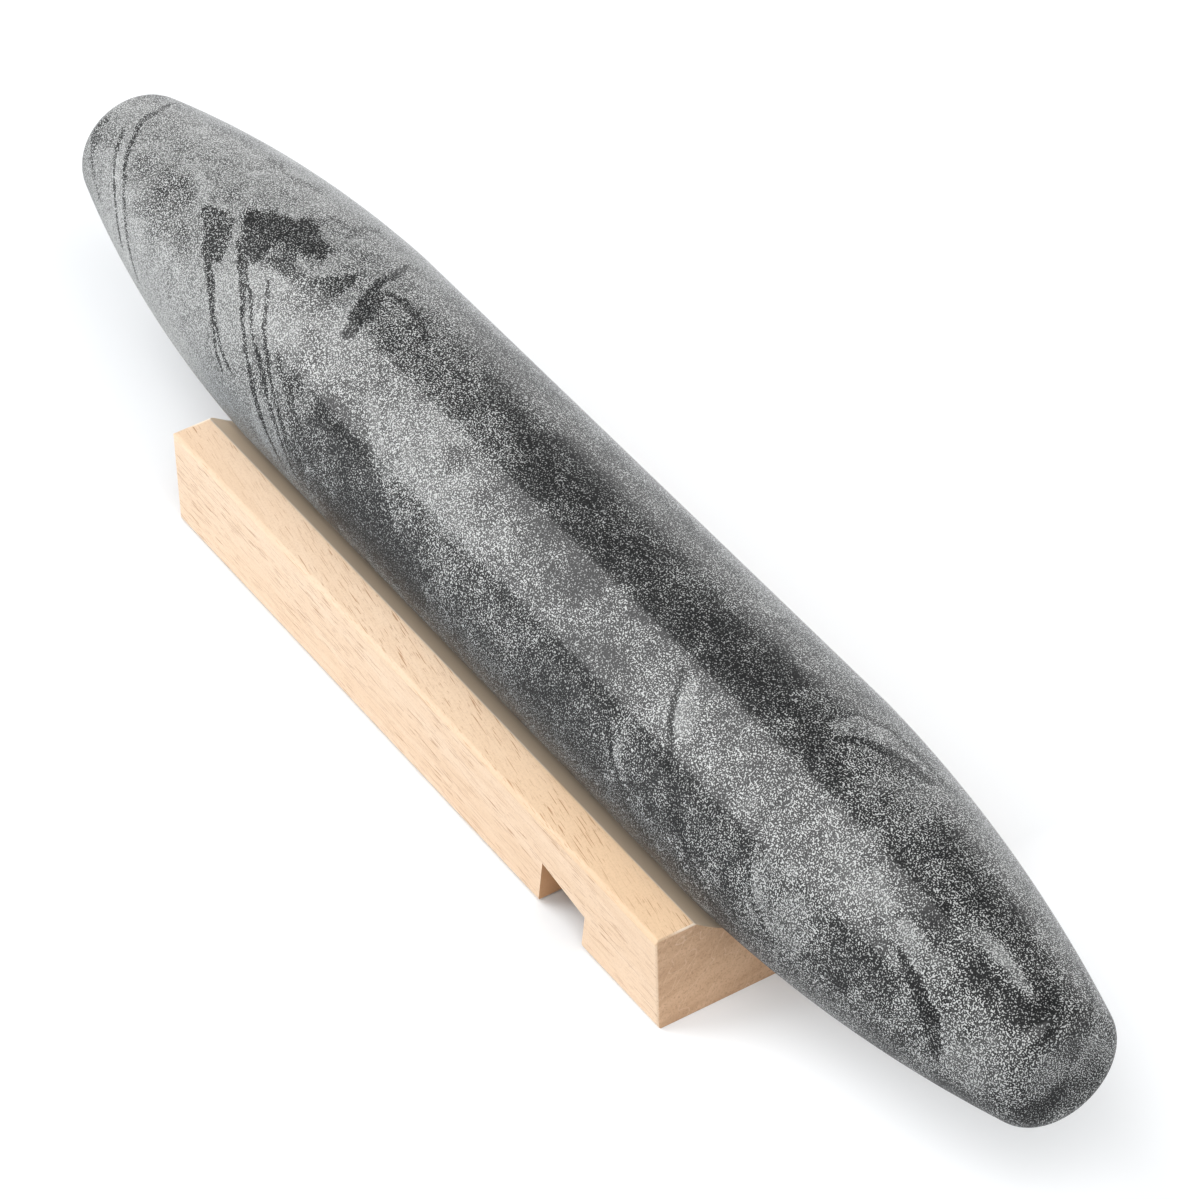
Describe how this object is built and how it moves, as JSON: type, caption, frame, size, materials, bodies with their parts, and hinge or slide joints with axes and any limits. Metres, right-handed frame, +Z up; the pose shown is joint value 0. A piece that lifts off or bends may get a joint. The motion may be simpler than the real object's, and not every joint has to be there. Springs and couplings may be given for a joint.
{
  "type": "marble rolling pin",
  "caption": "Solid marble rolling pin with curved tapers at both ends, lying in the concave groove of a short notched wooden cradle.",
  "frame": {"origin": "on the table plane, under the middle of the pin's length and on the pin's centre plane", "axes": "+X along the pin towards the end nearer the cradle's notch, +Y towards the back, +Z up"},
  "size_m": [0.3, 0.057, 0.0589],
  "materials": {
    "marble": "honed to a soft sheen",
    "beech": "sanded and lightly oiled"
  },
  "bodies": {
    "cradle": {"cradle": "beech"},
    "rolling_pin": {"rolling_pin": "marble"}
  },
  "joints": [
    {"name": "pin_lift", "type": "slide", "parent": "cradle", "child": "rolling_pin", "axis": [0, 0, 1], "range_m": [0, 0.1]}
  ]
}
